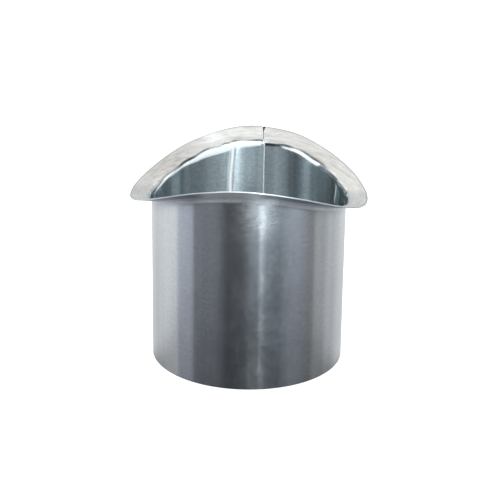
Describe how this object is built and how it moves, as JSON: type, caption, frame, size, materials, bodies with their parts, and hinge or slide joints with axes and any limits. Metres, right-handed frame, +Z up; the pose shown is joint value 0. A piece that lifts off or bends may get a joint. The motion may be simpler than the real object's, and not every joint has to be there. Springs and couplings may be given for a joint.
{
  "type": "gutter drop outlet",
  "caption": "Round sheet-metal drop outlet: a plain open spigot for a downpipe, with a saddle flange that lies in the bottom of a half-round gutter.",
  "frame": {"origin": "centre of the spigot's bottom edge", "axes": "+Z up the spigot's axis towards the flange; X along the gutter, through the flange's two low sides; +Y towards the lapped seam"},
  "size_m": [0.122, 0.118, 0.1085],
  "materials": {
    "galvanised_sheet": "bright galvanised, faint drawing lines up the wall, dull pale rim",
    "solder": "wiped soft solder, satin"
  },
  "bodies": {
    "root": {"collar_sheet": "galvanised_sheet", "lap_solder": "solder", "groove_solder": "solder", "edge_solder": "solder"}
  },
  "joints": []
}
